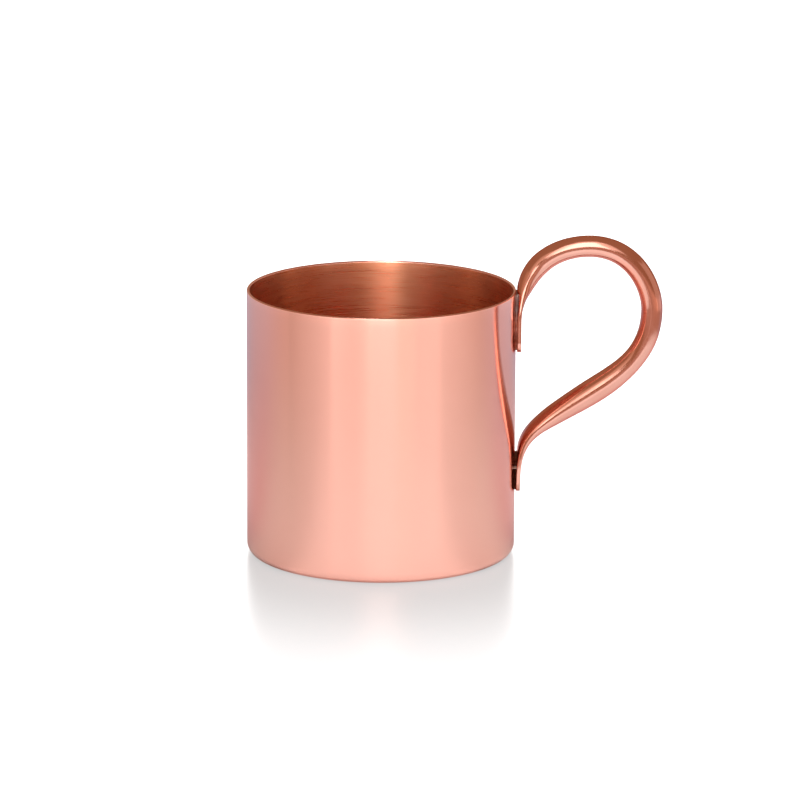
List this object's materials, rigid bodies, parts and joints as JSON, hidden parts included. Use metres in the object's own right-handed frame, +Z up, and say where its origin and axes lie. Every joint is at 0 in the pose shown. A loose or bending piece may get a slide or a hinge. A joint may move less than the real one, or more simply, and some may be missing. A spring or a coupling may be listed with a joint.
{
  "type": "copper mug",
  "caption": "Straight-sided spun copper mug with a bent rod handle that loops above the rim and is soldered on at flat tongues.",
  "frame": {"origin": "centre of the cup's flat underside, where the mug rests", "axes": "+Z up along the cup's axis, +X from the cup's axis towards the handle, +Y across the handle"},
  "size_m": [0.1312, 0.085, 0.1024],
  "materials": {
    "cup_copper": "polished copper outside, circumferentially brushed copper inside",
    "handle_copper": "mirror-polished copper",
    "solder": "dull grey solder"
  },
  "bodies": {
    "root": {"cup": "cup_copper", "handle": "handle_copper", "upper_solder_joint": "solder", "lower_solder_joint": "solder"}
  },
  "joints": []
}
